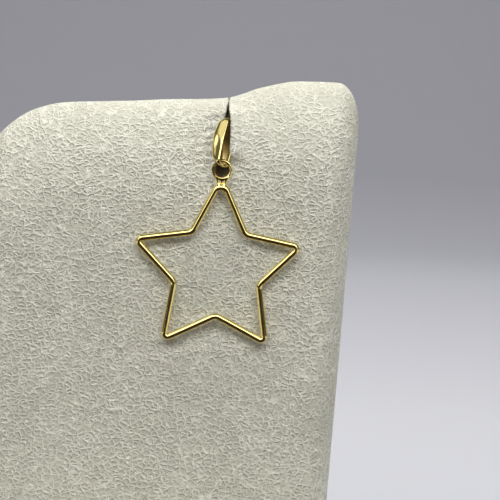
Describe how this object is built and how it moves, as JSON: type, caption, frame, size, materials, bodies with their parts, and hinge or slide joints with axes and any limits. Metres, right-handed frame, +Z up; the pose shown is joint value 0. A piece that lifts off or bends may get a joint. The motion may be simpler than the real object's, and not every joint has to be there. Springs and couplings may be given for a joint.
{
  "type": "star pendant on display stand",
  "caption": "Open five-pointed star pendant of round gold wire, hung by its jump ring from a tapered bail that is pushed into the slit of a padded cream display stand.",
  "frame": {"origin": "on the floor under the middle of the display stand", "axes": "+Z up, -Y the way the front of the stand faces, +X to the right in the picture"},
  "size_m": [0.064, 0.038, 0.085],
  "materials": {
    "gold": "polished yellow gold with fine hairline wear",
    "leatherette": "cream-white pebble-grained leatherette, satin"
  },
  "bodies": {
    "stand": {"display_pad": "leatherette", "display_foot": "leatherette", "bail": "gold"},
    "star": {"star": "gold"}
  },
  "joints": [
    {"name": "star_swing", "type": "hinge", "parent": "stand", "child": "star", "pos_m": [0.0096, -0.00725, 0.07258], "axis": [-1, 0, 0], "range_deg": [-1, 45]}
  ]
}
